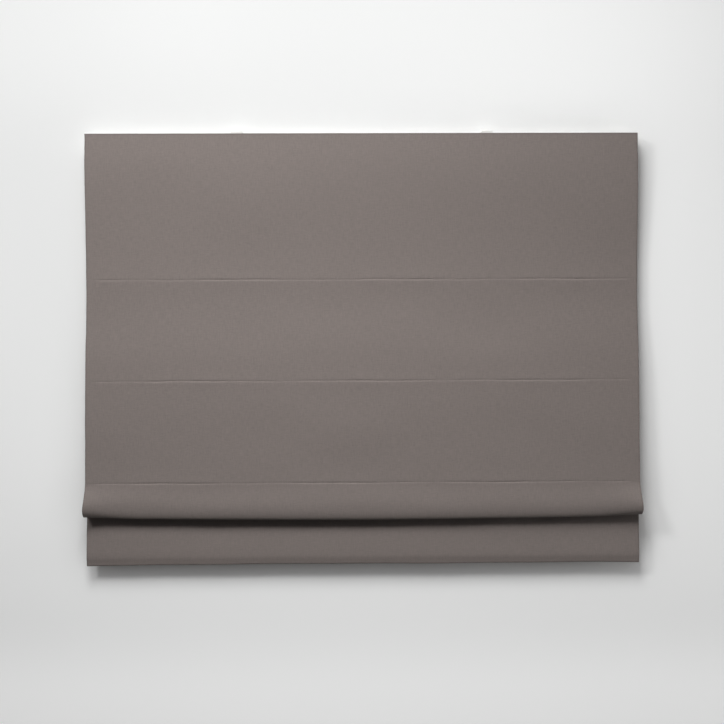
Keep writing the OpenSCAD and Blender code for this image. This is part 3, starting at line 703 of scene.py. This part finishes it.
def sew_row(name, points):
    guide_line = bpy.data.curves.new(name + "_line", "CURVE")
    guide_line.dimensions = "3D"
    spline = guide_line.splines.new("POLY")
    spline.points.add(len(points) - 1)
    for knot, point in zip(spline.points, points):
        knot.co = (*point, 1.0)
    guide = bpy.data.objects.new(name + "_line", guide_line)
    bpy.context.collection.objects.link(guide)
    row = stitch.copy()
    row.data = stitch.data.copy()
    row.name = row.data.name = name
    bpy.context.collection.objects.link(row)
    length = sum((Vector(b) - Vector(a)).length for a, b in zip(points, points[1:]))
    repeat = row.modifiers.new("repeat", "ARRAY")
    repeat.count = int(length / stitch_step)
    repeat.use_relative_offset = False
    repeat.use_constant_offset = True
    repeat.constant_offset_displace = (stitch_step, 0, 0)
    follow = row.modifiers.new("follow", "CURVE")
    follow.object = guide
    follow.deform_axis = "POS_X"
    bpy.ops.object.select_all(action="DESELECT")
    bpy.context.view_layer.objects.active = row
    row.select_set(True)
    bpy.ops.object.modifier_apply(modifier=repeat.name)
    bpy.ops.object.modifier_apply(modifier=follow.name)
    bpy.data.objects.remove(guide)
    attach(row, "blind")


row_x = np.linspace(-sewn_half, sewn_half, sewn_points)
for seam, (seam_y, seam_z) in enumerate(seam_lines):
    front = [(x, seam_y - cloth_thick / 2, seam_z + seam_drift(x, seam)) for x in row_x]
    sew_row("front_stitches_%d" % (seam + 1), front)
for number, (rod, foot_y, seam_z) in enumerate(tapes, start=1):
    corner, out, side, neck = tape_frame(rod, foot_y, seam_z)
    face_off = tape_apart / 2 + tape_layer / 2
    foot = [(x, foot_y + face_off, seam_z + foot_margin) for x in row_x]
    sew_row("foot_stitches_%d" % number, foot)
    spot = corner + out * (neck - neck_margin) + side * math.copysign(face_off, side.x)
    sew_row("sleeve_stitches_%d" % number, [(x, spot.x, spot.y) for x in row_x])
hem_back = hem_line_y + 2 * hem_turn_r + cloth_thick / 2
hem_top = hem_low_z + hem_fold - hem_margin
sew_row("hem_stitches", [(x, hem_back, hem_top) for x in row_x])
for side, place in (("left", -1), ("right", 1)):
    x = cloth_half - side_hem + hem_margin
    line = cloth_line(place * x)
    run = []
    for row in range(side_run_from, row_count - side_run_end):
        ahead = line[row + 1, :2] - line[row - 1, :2]
        ahead = ahead / np.linalg.norm(ahead)
        back = layer_step + cloth_thick / 2
        run.append((place * x, line[row, 0] - back * ahead[1], line[row, 1] + back * ahead[0]))
    sew_row("side_stitches_" + side, run)
bpy.data.objects.remove(stitch)

# Hook tape is glued along the front of the rail, and loop tape is sewn on the cloth's top edge.
# Pressed together they carry the cloth, so it can be pulled off and washed.
HOOK_WHITE = (0.78, 0.78, 0.76, 1.0)
hook_weave = woven_finish(
    "hook_tape", "Object", thread=0.0011, colour=HOOK_WHITE, fleck=PLASTIC_WHITE, tone=0.1, bump=0.0005
)[0]
dress(hook_weave, "hook_tape")
loop_weave = woven_finish(
    "loop_tape", "Object", thread=0.0009, colour=TAPE_TAUPE, fleck=TAPE_FLECK, tone=0.25, bump=0.0005
)[0]
dress(loop_weave, "loop_tape")

# A plain painted wall stands behind the blind, seen only from its room side, over a pale floor. For
# rays that see it the wall glows with painted light, more towards the picture's edges, with a painted
# shadow where the blind shades it, and the floor is dark for all other rays, so neither of them adds
# light to the cloth.
WALL_WHITE = (0.86, 0.865, 0.86, 1.0)
LIFT_WHITE = (1.0, 1.0, 1.0, 1.0)
FLOOR_WHITE = (0.72, 0.72, 0.71, 1.0)
FLOOR_SHADE = (0.12, 0.12, 0.12, 1.0)
stage_size = 9.0
wall_y = 0.0008
floor_z = -2.2
bright_spot = (-0.40, 0.0, 0.30)
spot_near, spot_far, painted_glow = 0.15, 1.15, 0.205
top_low, top_high, top_lift = -0.06, 0.24, 0.035
foot_high, foot_low, foot_lift = -1.02, -1.22, 0.095
shade_reach = 0.12
shade_power = 3.0
lamp_side = Vector((-0.80, -0.42, 0.43))


def seen_ray(tree):
    ray = add_node(tree, "ShaderNodeLightPath").outputs
    seen = compute(tree, "MAXIMUM", ray["Is Camera Ray"], ray["Is Glossy Ray"])
    return compute(tree, "MAXIMUM", seen, ray["Is Transmission Ray"])


def rise(tree, value, start, end, top):
    ramp = {"Value": value, "From Min": start, "From Max": end, "To Max": top}
    return add_node(tree, "ShaderNodeMapRange", ramp, interpolation_type="SMOOTHSTEP").outputs[0]


wall_paint, tree, shader = new_finish("wall_paint")
shader.inputs["Base Color"].default_value = WALL_WHITE
shader.inputs["Roughness"].default_value = 0.9
shader.inputs["Specular IOR Level"].default_value = 0.1
shader.inputs["Emission Color"].default_value = LIFT_WHITE
geometry = add_node(tree, "ShaderNodeNewGeometry").outputs
axes = add_node(tree, "ShaderNodeSeparateXYZ", {"Vector": geometry["Position"]}).outputs
away = add_node(
    tree, "ShaderNodeVectorMath", {0: geometry["Position"], 1: bright_spot}, operation="DISTANCE"
).outputs["Value"]
top = rise(tree, axes["Z"], top_low, top_high, top_lift)
foot = rise(tree, axes["Z"], foot_high, foot_low, foot_lift)
lift = rise(tree, away, spot_near, spot_far, painted_glow)
for part in (top, foot):
    lift = compute(tree, "ADD", lift, part)
# Ambient occlusion towards the lamps' side dims the glow beside the blind: a painted shadow on the wall.
open_side = {"Distance": shade_reach, "Normal": lamp_side}
open_side = add_node(tree, "ShaderNodeAmbientOcclusion", open_side).outputs["AO"]
lift = compute(tree, "MULTIPLY", lift, compute(tree, "POWER", open_side, shade_power))
lift = compute(tree, "MULTIPLY", lift, seen_ray(tree))
tree.links.new(lift, shader.inputs["Emission Strength"])
clear = add_node(tree, "ShaderNodeBsdfTransparent")
one_sided = {0: geometry["Backfacing"], 1: shader.outputs[0], 2: clear.outputs[0]}
one_sided = add_node(tree, "ShaderNodeMixShader", one_sided)
tree.links.new(one_sided.outputs[0], tree.nodes["Material Output"].inputs["Surface"])
standing = (math.radians(90), 0, 0)
bpy.ops.mesh.primitive_plane_add(size=stage_size, location=(0, wall_y, 0), rotation=standing)
wall = bpy.context.object
wall.name = "wall"
wall.data.materials.append(wall_paint)
wall.visible_shadow = False
floor_paint, tree, shader = new_finish("floor_paint")
paint = {"Factor": seen_ray(tree), 6: FLOOR_SHADE, 7: FLOOR_WHITE}
paint = add_node(tree, "ShaderNodeMix", paint, data_type="RGBA")
tree.links.new(paint.outputs[2], shader.inputs["Base Color"])
shader.inputs["Roughness"].default_value = 0.7
bpy.ops.mesh.primitive_plane_add(size=stage_size, location=(0, 0, floor_z))
floor = bpy.context.object
floor.name = "floor"
floor.data.materials.append(floor_paint)

# Light: a soft box far to the left makes the shadow beside the blind, a larger one high on the left
# gives most of the light, a low lamp to the right opens the shadow under the hem, and one behind the
# wall lights the back.
ROOM_PALE = 0.72
sky_from = 0.1
sky_glow = 0.258
dim_glow = 0.0048
scene = bpy.context.scene
scene.view_settings.view_transform = "Standard"


def soft_box(name, place, aim, size, watts, spread):
    lamp = bpy.data.lights.new(name, "AREA")
    lamp.size = size
    lamp.energy = watts
    lamp.spread = math.radians(spread)
    box = bpy.data.objects.new(name, lamp)
    scene.collection.objects.link(box)
    box.location = place
    box.rotation_mode = "QUATERNION"
    box.rotation_quaternion = (Vector(aim) - Vector(place)).to_track_quat("-Z", "Y")


soft_box("key_light", (-1.5, -1.8, 0.9), (0.10, 0.0, -0.5), size=0.5, watts=9.1, spread=115)
soft_box("top_light", (-0.35, -1.70, 1.45), (0.18, 0.0, -1.00), size=1.0, watts=18.3, spread=110)
soft_box("side_light", (2.0, -0.35, -0.7), (0.65, 0.0, -0.7), size=0.6, watts=3.0, spread=120)
soft_box("back_light", (0.9, 2.4, 0.9), (0.0, 0.0, -0.4), size=1.2, watts=34.0, spread=180)
world = bpy.data.worlds.new("room")
world.use_nodes = True
tree = world.node_tree
facing = add_node(tree, "ShaderNodeTexCoord").outputs["Generated"]
rising = add_node(tree, "ShaderNodeSeparateXYZ", {"Vector": facing}).outputs["Z"]
above = compute(tree, "MAXIMUM", compute(tree, "SUBTRACT", rising, sky_from), 0.0)
glow = compute(tree, "MULTIPLY_ADD", above, sky_glow, dim_glow)
paler = compute(tree, "SUBTRACT", ROOM_PALE, glow)
strength = compute(tree, "MULTIPLY_ADD", paler, seen_ray(tree), glow)
tree.nodes["Background"].inputs["Color"].default_value = (1.0, 1.0, 1.0, 1.0)
tree.links.new(strength, tree.nodes["Background"].inputs["Strength"])
scene.world = world

# Camera: level with the blind's middle, a few centimetres to its left, and turned a little to the
# right, as the edges in the photo ask.
camera_aim = Vector((-0.0019, -0.0386, -0.4797))
camera_away = 2.5433
camera_lens = 58.367
camera_sensor = 36.0
yaw, pitch, roll = math.radians(0.740), math.radians(-0.141), math.radians(-0.256)
ahead = Vector((math.sin(yaw) * math.cos(pitch), math.cos(yaw) * math.cos(pitch), math.sin(pitch)))
level = Vector((math.cos(yaw), -math.sin(yaw), 0.0))
upright = level.cross(ahead)
right = level * math.cos(roll) + upright * math.sin(roll)
up = upright * math.cos(roll) - level * math.sin(roll)
camera_data = bpy.data.cameras.new("photo_camera")
camera_data.lens = camera_lens
camera_data.sensor_width = camera_sensor
camera = bpy.data.objects.new("photo_camera", camera_data)
scene.collection.objects.link(camera)
turned = Matrix((right, up, -ahead)).transposed().to_4x4()
camera.matrix_world = Matrix.Translation(camera_aim - ahead * camera_away) @ turned
scene.camera = camera
